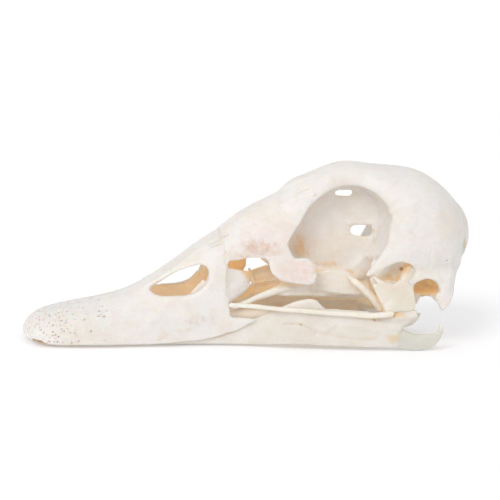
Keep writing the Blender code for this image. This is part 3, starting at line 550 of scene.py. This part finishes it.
def fused_bone(obj, kind, side, voxel, rounds):
    """Adds a bone's small forms to its solid, takes off its cuts, and fuses all into one even skin."""
    modify(obj, "SUBSURF", levels=1, render_levels=1)
    extras = forms_of(EXTRA_FORMS, kind, side)
    bm = bmesh.new()
    for piece in [obj] + extras:
        bm.from_mesh(piece.data)
    bm.to_mesh(obj.data)
    bm.free()
    remove(extras)
    cutters = forms_of(CUT_FORMS, kind, side)
    if cutters:
        voxelled(obj, voxel)
    for cutter in cutters:
        cut(obj, cutter)
    voxelled(obj, voxel)
    relaxed(obj, rounds)


# Ridges and grooves of both sides along paths on the left one, each (height, half-width, stain, strength, path)
MARKS = [
    # the zigzag line of the bending hinge, and its groove over the top
    (-0.25, 0.30, "tan", 0.45, ((-9.1, -4.8, 31.0), (-9.4, -6.4, 30.0), (-8.6, -7.7, 29.2),
                                (-9.0, -8.0, 28.4), (-8.2, -8.4, 27.6), (-8.7, -8.6, 26.8),
                                (-8.1, -8.8, 26.0), (-8.7, -8.9, 25.0), (-8.2, -9.1, 23.9))),
    (-0.15, 0.60, "green", 0.5, ((-9.1, -4.8, 31.0), (-9.9, -2.6, 32.6), (-10.1, 0.0, 33.0))),
    # the ridges over and behind the eye socket, and the groove behind them
    (0.32, 0.70, None, 0, ((37.5, -12.5, 40.7), (39.0, -13.5, 41.6), (42.0, -13.5, 42.8),
                           (45.2, -12.5, 43.4))),
    (0.25, 0.80, None, 0, ((39.5, -15.2, 38.1), (41.1, -16.1, 36.0), (42.7, -16.5, 33.2),
                           (42.6, -16.0, 30.5))),
    (-0.25, 0.45, "tan", 0.3, ((49.5, -16.7, 30.7), (49.4, -16.3, 28.5), (49.9, -15.3, 25.9))),
    # the forehead's long ridge
    (0.25, 1.20, None, 0, ((-10.0, -6.0, 35.0), (-1.6, -6.5, 40.0), (6.7, -7.5, 45.4))),
    # the groove along the beak's lower edge, and two stained dents behind it
    (-0.30, 0.50, "tan", 0.5, ((-26.8, -10.0, 2.0), (-25.1, -10.0, 3.3), (-20.8, -10.0, 4.5),
                               (-17.1, -10.0, 5.7))),
    (-0.20, 0.50, "brown", 0.8, ((-11.4, -9.8, 7.6), (-11.0, -9.8, 7.2))),
    (-0.10, 0.40, "rust", 0.8, ((-12.9, -9.8, 6.1), (-12.7, -9.8, 5.9))),
    # the groove and the ridge on the jaw's side
    (-0.25, 0.45, "tan", 0.4, ((9.1, -12.0, 7.4), (13.7, -12.5, 7.4), (16.0, -12.8, 6.4),
                               (18.1, -13.0, 5.3))),
    (0.25, 0.70, None, 0, ((19.6, -13.0, 5.4), (21.4, -13.0, 6.6), (23.0, -13.0, 7.6))),
    # two rusty spots at the jugal's rear end
    (0.0, 0.45, "rust", 1.0, ((33.4, -14.6, 12.3), (33.9, -14.6, 11.6))),
    (0.0, 0.45, "rust", 1.0, ((34.9, -14.6, 10.2), (35.0, -14.6, 9.6))),
    # the groove on the lobe before the eye, and the braincase's rear edge
    (-0.25, 0.60, "tan", 0.3, ((18.6, -12.0, 23.2), (15.6, -12.5, 23.0), (12.4, -12.5, 22.7))),
    (0.30, 0.60, None, 0, ((55.2, -13.6, 29.0), (56.6, -12.8, 25.0), (57.0, -12.2, 21.0),
                           (56.6, -12.2, 17.0))),
    # the thin ridges round the lower window between the eyes
    (0.30, 0.45, "amber", 0.6, ((33.9, -2.5, 35.2), (35.5, -2.5, 32.9), (34.9, -2.5, 30.3))),
    (0.30, 0.45, "amber", 0.5, ((37.4, -3.0, 35.0), (38.8, -3.0, 31.7), (37.4, -3.0, 28.8))),
    # the joint's edge, the groove round the soft spot, and the pterygoid's edge
    (0.20, 0.45, "amber", 0.5, ((38.2, -13.0, 11.9), (42.6, -13.0, 11.8), (47.0, -13.0, 12.4))),
    (-0.30, 0.60, "tan", 0.4, ((62.6, -4.0, 30.6), (62.2, -4.4, 28.4), (61.6, -4.8, 25.6),
                               (60.7, -5.4, 20.6))),
    (0.15, 0.40, "amber", 0.5, ((30.2, -9.0, 20.2), (33.4, -9.4, 17.6), (36.2, -9.6, 14.8),
                                (38.0, -9.6, 12.0))),
    # the long grooves and the ridge on the jaw's rear half
    (-0.22, 0.50, "tan", 0.35, ((18.1, -13.0, 5.3), (24.0, -13.0, 4.2), (31.0, -13.0, 3.6),
                                (36.0, -13.0, 3.9))),
    (0.22, 0.60, None, 0, ((25.0, -13.2, 7.8), (31.0, -13.4, 7.4), (37.0, -13.4, 6.6))),
    (-0.18, 0.45, "tan", 0.3, ((40.5, -13.4, 6.4), (44.0, -13.4, 5.6), (48.5, -13.4, 5.4))),
    # the beak's side ridge, and the brow's ridge and groove
    (0.20, 0.50, "pink", 0.3, ((-30.0, -10.5, 7.6), (-22.0, -10.5, 8.8), (-14.0, -10.5, 10.6))),
    (0.25, 0.60, None, 0, ((6.0, -8.0, 41.5), (10.0, -8.6, 43.6), (15.0, -9.0, 45.2))),
    (-0.20, 0.30, "tan", 0.5, ((11.0, -6.5, 44.6), (13.0, -6.8, 45.6), (15.5, -6.8, 46.2))),
    # the brown line and the green spot at the beak's tip
    (0.0, 0.50, "brown", 0.9, ((-62.9, -8.6, 1.3), (-60.6, -10.0, 1.5), (-58.4, -10.4, 1.2))),
    (0.0, 0.70, "green", 1.0, ((-65.0, -3.0, 1.7), (-64.5, -3.0, 1.7))),
]

# Wide stains on both sides, and one spot of painted glow, given for the left one, each (kind, strength, centre,
# radii)
STAINS = [
    # the outside: the forehead, the lobe before the eye, the beak, the temple, the hinge and the jaw's rear end
    ("pink", 0.33, (2.0, -9.5, 33.0), (13.0, 7.0, 9.0)),
    ("rust", 0.42, (1.2, -9.5, 29.0), (7.0, 5.0, 2.6)),
    ("rust", 0.35, (-3.6, -9.5, 26.6), (4.0, 5.0, 1.5)),
    ("rust", 0.30, (19.0, -12.0, 20.5), (3.5, 4.0, 2.5)),
    ("rust", 0.27, (-16.0, -11.0, 8.0), (5.0, 4.0, 3.0)),
    ("pink", 0.45, (13.0, -11.0, 23.0), (9.0, 5.0, 5.0)),
    ("pink", 0.25, (45.0, -16.0, 33.0), (9.0, 6.0, 8.0)),
    ("green", 0.22, (-9.5, -6.0, 30.0), (3.0, 6.0, 6.0)),
    ("green", 0.22, (-24.0, 0.0, 22.0), (5.0, 6.0, 4.0)),
    ("tan", 0.70, (40.8, -13.5, 4.0), (2.6, 3.0, 1.6)),
    # the room under the forehead and the wall between the eyes: amber and tan, partly real stain and partly
    # painted shade of these closed rooms
    ("amber", 0.90, (-2.0, -5.7, 21.3), (4.5, 1.5, 3.0)),
    ("amber", 0.45, (2.0, -0.5, 15.0), (9.0, 3.5, 4.0)),
    ("tan", 0.80, (4.0, -0.5, 19.5), (6.0, 3.0, 3.0)),
    ("tan", 0.50, (15.5, -1.5, 28.0), (5.0, 3.5, 4.6)),
    ("amber", 0.38, (15.3, -1.5, 27.6), (3.6, 3.5, 3.6)),
    ("amber", 0.42, (23.0, -2.0, 22.9), (6.0, 2.0, 1.3)),
    ("amber", 0.45, (29.5, -3.0, 20.6), (1.6, 2.5, 1.2)),
    # the great hole and the soft spots at the back of the head
    ("brown", 0.80, (50.0, 0.0, 24.0), (6.0, 5.0, 4.5)),
    ("amber", 0.60, (56.5, 0.0, 21.4), (4.0, 3.4, 3.6)),
    ("tan", 0.60, (62.4, -4.0, 29.0), (1.6, 3.2, 3.0)),
    ("green", 0.55, (61.8, -6.0, 29.0), (2.6, 5.0, 3.6)),
    ("tan", 0.42, (60.8, -6.0, 22.0), (1.2, 3.2, 4.6)),
    # the spot of painted glow on the jaw's thin wall, and the temple, the ear and the joint of the jaw
    ("thin", 1.00, (3.5, -8.4, 5.4), (6.5, 2.0, 1.2)),
    ("amber", 0.36, (40.6, -10.0, 21.6), (5.0, 3.0, 2.2)),
    ("amber", 0.55, (37.2, -11.6, 22.6), (1.4, 2.5, 1.4)),
    ("amber", 0.40, (45.6, -13.4, 25.0), (1.8, 1.5, 0.8)),
    ("amber", 0.60, (43.4, -12.8, 24.6), (2.4, 2.0, 2.0)),
    ("brown", 0.70, (43.0, -9.2, 23.4), (0.8, 2.0, 0.7)),
    ("amber", 0.90, (50.5, -9.0, 18.6), (4.6, 4.5, 3.2)),
    ("amber", 0.55, (40.5, -13.0, 10.9), (4.0, 3.0, 0.9)),
]
# A wide stain on the left side alone, on the jaw's rear hook
LEFT_STAINS = [("green", 1.00, (49.5, -13.0, 3.0), (7.5, 4.0, 5.0))]
STAIN_REACH = 1.5     # where a wide stain ends, in its radii


def carries(tree, point):
    """Whether a point in millimetres lies on the bone with this surface."""
    return tree.find_nearest(Vector(point) * MM)[3] < ON_BONE * MM


def settled(tree, path):
    """A path in millimetres, moved onto the nearest bone."""
    return [np.array(tree.find_nearest(Vector(point) * MM)[0]) / MM for point in path]


def distance_to(points, path):
    """How far each point lies from a path, in millimetres."""
    nearest = np.full(len(points), np.inf)
    for start, end in zip(path, path[1:]):
        along = end - start
        share = np.clip((points - start) @ along / max(along @ along, 1e-9), 0, 1)
        nearest = np.minimum(nearest, np.linalg.norm(points - start - share[:, None] * along, axis=1))
    return nearest


def left_side(points):
    """Points in millimetres, those of the right side mirrored to the left."""
    points = points / MM
    points[:, 1] = -np.abs(points[:, 1])
    return points


def engraved(obj):
    """Raises the ridges and sinks the grooves in the surface of obj."""
    tree = tree_of([obj])
    points = rows_of(obj.data, "co")
    folded = left_side(points)
    height = np.zeros(len(points))
    for step, width, _, _, path in MARKS:
        if carries(tree, path[0]):
            height += step * np.exp(-(distance_to(folded, settled(tree, path)) / width) ** 2)
    points += rows_of(obj.data, "normal") * height[:, None] * MM
    move_points(obj.data, points)


# Fine cuts in both sides, given for the left one: the slits by the bending hinge, and the holes of vessels
# and nerves
SLITS = [
    ((-12.7, -5.2, 29.2, 0.15), (-10.3, -5.9, 30.6, 0.36), (-7.6, -6.1, 32.3, 0.24)),
    ((-12.4, -6.1, 28.3, 0.12), (-10.4, -6.7, 29.3, 0.26), (-8.7, -7.0, 30.1, 0.2)),
]
HOLES = [(55.1, -14.5, 27.2, 0.35), (16.7, -8.3, 44.5, 0.3), (16.0, -8.4, 42.4, 0.25),
         (13.7, -12.5, 7.4, 0.35)]


def pierced(obj):
    """Cuts the slits and the small holes that lie on obj."""
    tree = tree_of([obj])
    cutters = []
    for slit in SLITS:
        if carries(tree, slit[0][:3]):
            path = settled(tree, [ball[:3] for ball in slit])
            cutters += bar("slit", [(*place, ball[3]) for place, ball in zip(path, slit)])
    for *place, radius in HOLES:
        if carries(tree, place):
            cutters.append(web("hole", [(*settled(tree, [place])[0], radius)]))
    for cutter in cutters + [mirrored(cutter) for cutter in cutters]:
        cut(obj, cutter)


# The pits in the beak's tip, closest together at its front end. Lengths are in metres, and the most pits are
# given for a square metre.
PITS = {"Front end": -0.060, "Rear end": -0.040, "Spacing": 0.0008, "Pits per area": 1300000.0,
        "Smallest": 0.00009, "Largest": 0.00028, "Least rise": -0.3, "Seed": 4}


def pit_tree():
    """Geometry Nodes that scatter small balls over a beak's tip, where it doesn't face down."""
    tree = bpy.data.node_groups.new("beak_tip_pits", "GeometryNodeTree")
    tree.is_modifier = True
    tree.interface.new_socket("Beak", in_out="INPUT", socket_type="NodeSocketGeometry")
    for name in PITS:
        kind = "Int" if name == "Seed" else "Float"
        tree.interface.new_socket(name, in_out="INPUT", socket_type="NodeSocket" + kind)
    tree.interface.new_socket("Bone", in_out="INPUT", socket_type="NodeSocketMaterial")
    tree.interface.new_socket("Pits", in_out="OUTPUT", socket_type="NodeSocketGeometry")
    given = node(tree, "NodeGroupInput").outputs
    place = node(tree, "ShaderNodeSeparateXYZ", {0: node(tree, "GeometryNodeInputPosition").outputs[0]})
    facing = node(tree, "ShaderNodeSeparateXYZ", {0: node(tree, "GeometryNodeInputNormal").outputs[0]})
    upper = node(tree, "FunctionNodeCompare", {0: facing.outputs["Z"], 1: given["Least rise"]},
                 operation="GREATER_THAN")
    share = node(tree, "ShaderNodeMapRange", {"Value": place.outputs["X"], "From Min": given["Front end"],
                                              "From Max": given["Rear end"], "To Min": 1.0, "To Max": 0.0})
    spots = node(tree, "GeometryNodeDistributePointsOnFaces",
                 {"Mesh": given["Beak"], "Selection": upper.outputs[0], "Distance Min": given["Spacing"],
                  "Density Max": given["Pits per area"], "Density Factor": share.outputs[0],
                  "Seed": given["Seed"]}, distribute_method="POISSON")
    radius = node(tree, "FunctionNodeRandomValue",
                  {2: given["Smallest"], 3: given["Largest"], "Seed": given["Seed"]}, data_type="FLOAT")
    ball = node(tree, "GeometryNodeMeshUVSphere", {"Segments": 8, "Rings": 5, "Radius": 1.0})
    balls = node(tree, "GeometryNodeInstanceOnPoints",
                 {"Points": spots.outputs["Points"], "Instance": ball.outputs["Mesh"],
                  "Scale": radius.outputs[1]})
    plain = node(tree, "GeometryNodeRealizeInstances", {"Geometry": balls.outputs["Instances"]})
    dressed = node(tree, "GeometryNodeSetMaterial",
                   {"Geometry": plain.outputs["Geometry"], "Material": given["Bone"]})
    node(tree, "NodeGroupOutput", {"Pits": dressed.outputs["Geometry"]})
    return tree


def pits(obj, bone):
    """The balls that pit the beak's tip, as one mesh."""
    tree = pit_tree()
    step = obj.modifiers.new("pits", "NODES")
    step.node_group = tree
    inputs = {**PITS, "Bone": bone}
    for item in tree.interface.items_tree:
        if item.in_out == "INPUT" and item.name in inputs:
            step[item.identifier] = inputs[item.name]
    graph = bpy.context.evaluated_depsgraph_get()
    mesh = bpy.data.meshes.new_from_object(obj.evaluated_get(graph))
    obj.modifiers.clear()
    return new_object("pits", mesh)


def upper_skull(bone):
    """The cranium and the upper beak as one bone."""
    obj = copy_of("upper_skull", ["cranium", "upper_beak"])
    close_hinge(obj)
    fused_bone(obj, "upper_skull", None, SKULL_VOXEL, SKULL_ROUNDS)
    triangles = sum(len(face.vertices) - 2 for face in obj.data.polygons)
    if triangles > SKULL_TRIANGLES:
        modify(obj, "DECIMATE", ratio=SKULL_TRIANGLES / triangles)
    engraved(obj)
    pierced(obj)
    cut(obj, pits(obj, bone))
    return obj


def small_bone(name, voxel=SMALL_VOXEL):
    """One of the other bones, such as quadrate_left or vomer."""
    obj = copy_of(name + "_bone", [name])
    kind = name.removesuffix("_left").removesuffix("_right")
    side = name[len(kind) + 1:]
    fused_bone(obj, kind, side, voxel, OWN_ROUNDS.get(kind, SMALL_ROUNDS))
    engraved(obj)
    pierced(obj)
    return obj


# How each point of the bone looks round, to find the hollows: rays evenly spread over what it faces
RAYS = 18
RAY_SPREAD = 0.92         # 1 would send the widest ray along the surface
RAY_REACH = 40.0
RAY_START = 0.05          # how far off the surface they start
NEAR_WALL = 1.2           # bone nearer than this is the other side of a pit

# The rounds that soften the masks, and the sharpest bend that counts, in 1/mm
HOLLOW_ROUNDS = 3
BEND_ROUNDS = 4
SHARPEST_BEND = 2.0

# Where the inner walls' painted shade ends: in front of a line across the jaw, it stays above a height, with a
# soft border
JAW_INNER_SHADE_FRONT = 12.0
JAW_INNER_SHADE_FOOT = 6.3
JAW_INNER_SHADE_BORDER = 1.5

# Where the beak's tip ends behind, how soon the painted shade in its pits fades there, and how dark the painted
# shade in other pits and narrow gaps stays
BEAK_TIP_END = -36.0
BEAK_TIP_BORDER = 4.0
OTHER_PITS = 0.25

# Beside the middle plane, the faces that look inwards aren't inner walls
MIDDLE_PLANE_BORDER = 4.0


def walls_round(obj, tree):
    """Two shares for each point: how much of its view other bone closes, and how much of it is very near."""
    normals = rows_of(obj.data, "normal")
    points = rows_of(obj.data, "co")
    directions = []
    for n in range(RAYS):
        height = 1 - (n + 0.5) / RAYS * RAY_SPREAD
        turn = n * math.pi * (3 - math.sqrt(5))
        flat = math.sqrt(1 - height * height)
        directions.append((math.cos(turn) * flat, math.sin(turn) * flat, height))
    closed = np.zeros(len(points))
    near = np.zeros(len(points))
    for i in range(len(points)):
        normal = Vector(normals[i])
        side = normal.orthogonal().normalized()
        other = normal.cross(side)
        start = Vector(points[i]) + normal * RAY_START * MM
        for x, y, z in directions:
            hit = tree.ray_cast(start, side * x + other * y + normal * z, RAY_REACH * MM)[3]
            if hit is not None:
                closed[i] += z
                if hit < NEAR_WALL * MM:
                    near[i] += z
    total = sum(direction[2] for direction in directions)
    return closed / total, near / total


def hollows(obj, tree):
    """Masks for closed hollows, for walls that face the middle of the skull, and for pits, which the bone's
    material turns into painted shade.
    """
    mesh = obj.data
    closed, near = walls_round(obj, tree)
    mean = neighbours_mean(mesh)
    for _ in range(HOLLOW_ROUNDS):
        closed = (closed + mean(closed[:, None])[:, 0]) / 2
    x, y, z = (rows_of(mesh, "co") / MM).T
    off_middle = np.clip(np.abs(y) / MIDDLE_PLANE_BORDER, 0, 1)
    turned_in = -rows_of(mesh, "normal")[:, 1] * np.sign(y) * off_middle
    # a wall counts as an inner one from about a sixth closed, and in full from a little over half
    inner = np.clip(turned_in, 0, 1) * np.clip(closed * 2.5 - 0.4, 0, 1)
    if obj.name == "lower_jaw_bone":
        inner *= np.where(x < JAW_INNER_SHADE_FRONT, np.clip((z - JAW_INNER_SHADE_FOOT) / JAW_INNER_SHADE_BORDER, 0, 1), 1)
    tip = np.clip((BEAK_TIP_END - x) / BEAK_TIP_BORDER, OTHER_PITS, 1)
    set_attribute(mesh, "closed", closed)
    set_attribute(mesh, "inner", inner)
    set_attribute(mesh, "pits", near * tip)


def edges_and_creases(obj):
    """Masks for sharp edges and for creases, from how much the surface bends, in 1/mm."""
    mesh = obj.data
    mean = neighbours_mean(mesh)
    points = rows_of(mesh, "co") / MM
    inward = ((mean(points) - points) * rows_of(mesh, "normal")).sum(1)
    first, last = edge_ends(mesh)
    spacing = float(np.mean(np.linalg.norm(points[first] - points[last], axis=1)))
    bend = inward * 2 / spacing ** 2
    for _ in range(BEND_ROUNDS):
        bend = mean(bend[:, None])[:, 0]
    set_attribute(mesh, "edge", np.clip(-bend, 0, SHARPEST_BEND))
    set_attribute(mesh, "crease", np.clip(bend, 0, SHARPEST_BEND))


def stained(obj):
    """Paints the stains, and the jaw's spot of painted glow, as soft masks on the mesh's points."""
    mesh = obj.data
    tree = tree_of([obj])
    points = rows_of(mesh, "co") / MM
    folded = left_side(rows_of(mesh, "co"))
    masks = {kind: np.zeros(len(points)) for kind in STAINS_SHOWN + ("thin",)}
    for places, stains in ((folded, STAINS), (points, LEFT_STAINS)):
        for kind, strength, centre, radii in stains:
            distance = np.sqrt((((places - centre) / radii) ** 2).sum(1))
            masks[kind] = np.maximum(masks[kind], strength * np.clip(STAIN_REACH - distance, 0, 1))
    for _, width, kind, strength, path in MARKS:
        if kind and carries(tree, path[0]):
            distance = distance_to(folded, settled(tree, path))
            masks[kind] = np.maximum(masks[kind], strength * np.exp(-(distance / width) ** 2))
    # the jaw's painted glow shows only on walls that face the middle of the skull
    turned_in = -rows_of(mesh, "normal")[:, 1] * np.sign(points[:, 1])
    masks["thin"] *= np.clip(turned_in * 2, 0, 1)
    for kind, values in masks.items():
        set_attribute(mesh, kind, values)


def main():
    set_camera()
    set_stage()
    # The skull is the whitest and the jaw a little creamier. The palate's thin bones look warm, and the fat
    # left in the joints makes theirs the darkest.
    bones = {
        "bone_white": bone_material("bleached_skull_bone", "E4E1DE", "E1DCD4"),
        "bone_jaw": bone_material("bleached_jaw_bone", "E1DDD7", "DCD6CC"),
        "bone_cream": bone_material("thin_palate_bone", "E6E2DA", "E0D9CD", hollow_start=0.63, amber=0.25),
        "bone_amber": bone_material("greasy_joint_bone", "E4DFD4", "DDD4C4", hollow_start=0.6),
    }
    pieces = [
        (upper_skull(bones["bone_white"]), ("cranium", "upper_beak"), "bone_white"),
        (small_bone("lower_jaw", JAW_VOXEL), ("lower_jaw",), "bone_jaw"),
    ]
    for kind, slot in (("jugal", "bone_cream"), ("palatine", "bone_cream"), ("pterygoid", "bone_amber"),
                       ("quadrate", "bone_amber")):
        for name in (f"{kind}_left", f"{kind}_right"):
            pieces.append((small_bone(name), (name,), slot))
    pieces.append((small_bone("vomer"), ("vomer",), "bone_cream"))
    tree = tree_of([obj for obj, _, _ in pieces])
    for obj, nodes, slot in pieces:
        hollows(obj, tree)
        edges_and_creases(obj)
        stained(obj)
        obj.data.materials.clear()
        obj.data.materials.append(bones[slot])
        obj.data.shade_smooth()
        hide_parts(*nodes)
        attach(obj, "root")


main()
